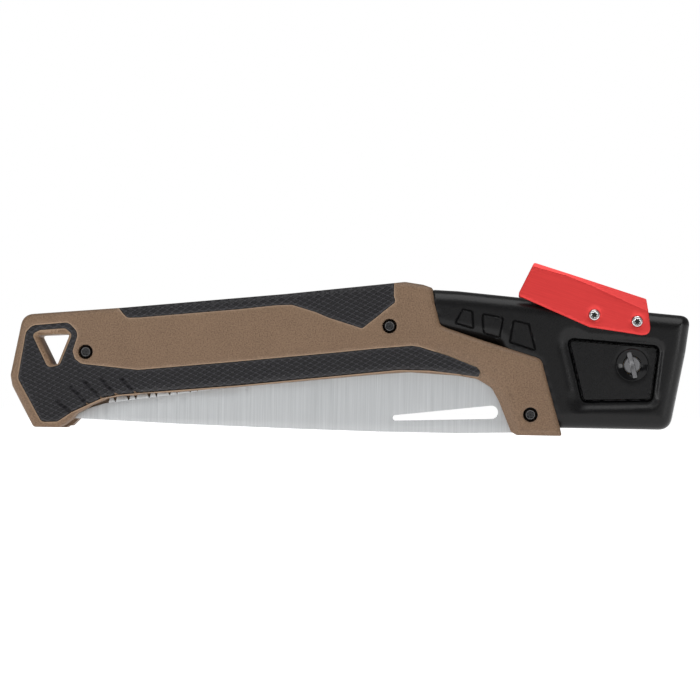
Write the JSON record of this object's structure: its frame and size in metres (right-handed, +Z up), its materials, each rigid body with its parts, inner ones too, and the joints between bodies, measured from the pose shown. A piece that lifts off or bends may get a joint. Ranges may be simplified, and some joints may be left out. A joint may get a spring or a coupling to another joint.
{
  "type": "folding pruning saw",
  "caption": "Folding pruning saw: tapered toothed blade folded into a two-shell handle with rubber grips and lanyard hole, red sprung lock lever on the pivot head.",
  "frame": {"origin": "bottom centre of the bounding box, folded, standing on its lower edge", "axes": "+X towards the pivot head along the handle, +Z up from the blade's back to the lever, -Y is the front side"},
  "size_m": [0.3386, 0.0286, 0.0858],
  "materials": {
    "tan_shell": "fine spark-eroded grain, light satin",
    "grip_rubber": "soft-touch rubber with a raised diamond net",
    "black_housing": "glass-filled nylon, fine grain",
    "black_screw": "blackened steel, satin",
    "pivot_cup": "glossy black",
    "pivot_hub": "grey satin steel",
    "bearing_brass": "satin brass",
    "pin_steel": "ground steel",
    "spring_steel": "drawn spring wire",
    "blade_steel": "satin steel, ground across the blade",
    "red_lever": "red anodised, brushed along its length",
    "pin_chrome": "polished"
  },
  "bodies": {
    "handle": {"front_shell": "tan_shell", "back_shell": "tan_shell", "front_upper_grip": "grip_rubber", "back_upper_grip": "grip_rubber", "front_lower_grip": "grip_rubber", "back_lower_grip": "grip_rubber", "front_head_housing": "black_housing", "back_head_housing": "black_housing", "butt_screw": "black_screw", "butt_nut": "black_screw", "middle_screw": "black_screw", "middle_nut": "black_screw", "front_nose_screw": "black_screw", "back_nose_screw": "black_screw", "front_pivot_cup": "pivot_cup", "back_pivot_cup": "pivot_cup", "pivot_bolt": "pivot_hub", "pivot_nut": "pivot_hub", "pivot_bushing": "bearing_brass", "front_pivot_washer": "bearing_brass", "back_pivot_washer": "bearing_brass", "open_stop_pin": "pin_steel", "closed_stop_pin": "pin_steel", "lever_spring": "spring_steel"},
    "blade": {"saw_blade": "blade_steel"},
    "lever": {"lock_lever": "red_lever", "lever_pivot_pin": "pin_chrome", "lever_pivot_pin_screw": "pin_chrome", "lock_pin": "pin_chrome", "lock_pin_screw": "pin_chrome"}
  },
  "joints": [
    {"name": "blade_fold", "type": "hinge", "parent": "handle", "child": "blade", "pos_m": [0.1409, 0, 0.0358], "axis": [0, -1, 0], "range_deg": [0, 180]},
    {"name": "lever_press", "type": "hinge", "parent": "handle", "child": "lever", "pos_m": [0.1218, 0, 0.0603], "axis": [0, -1, 0], "range_deg": [0, 12], "stiffness_Nm_per_rad": 0.6, "springref_deg": -20.05, "deforming": ["lever_spring"]}
  ]
}
